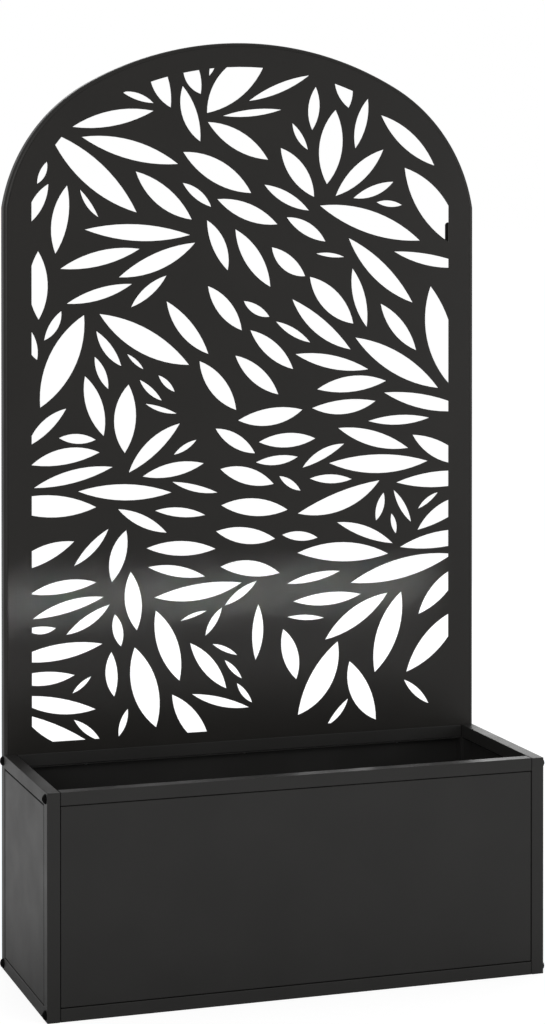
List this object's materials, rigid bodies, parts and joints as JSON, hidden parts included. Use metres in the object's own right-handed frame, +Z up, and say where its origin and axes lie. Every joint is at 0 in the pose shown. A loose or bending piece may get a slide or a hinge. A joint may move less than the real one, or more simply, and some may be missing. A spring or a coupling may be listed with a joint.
{
  "type": "planter box with tall arched privacy screen",
  "caption": "Rectangular box planter of folded panels on a square tube frame, with a tall thin screen behind it: arched top, rounded rim, and a cut-through pattern of scattered pointed leaves.",
  "frame": {"origin": "middle of the base on the ground, under the centre of the whole outline", "axes": "X along the width of the box, Y from the front towards the back where the screen stands, Z up"},
  "size_m": [0.8096, 0.3, 1.4699],
  "materials": {
    "coated_steel": "satin",
    "dark_bolts": "satin",
    "plain_steel": "brushed"
  },
  "bodies": {
    "root": {"left_end_frame": "coated_steel", "right_end_frame": "coated_steel", "front_top_rail": "coated_steel", "front_bottom_rail": "coated_steel", "back_top_rail": "coated_steel", "back_bottom_rail": "coated_steel", "rail_end_plugs": "plain_steel", "corner_bolts": "dark_bolts", "front_panel": "coated_steel", "front_panel_screws": "plain_steel", "back_panel": "coated_steel", "back_panel_screws": "plain_steel", "left_end_panel": "coated_steel", "right_end_panel": "coated_steel", "end_panel_screws": "plain_steel", "floor_bar_left": "coated_steel", "floor_bar_middle": "coated_steel", "floor_bar_right": "coated_steel", "floor_bar_screws": "plain_steel", "floor_tray": "coated_steel", "screen_sheet": "coated_steel", "screen_rim_left": "coated_steel", "screen_rim_right": "coated_steel", "screen_rim_arch": "coated_steel", "screen_foot": "coated_steel", "screen_foot_washers": "plain_steel", "screen_foot_bolts": "plain_steel", "screen_foot_nuts": "plain_steel", "wall_bracket_left": "coated_steel", "wall_bracket_right": "coated_steel"}
  },
  "joints": []
}
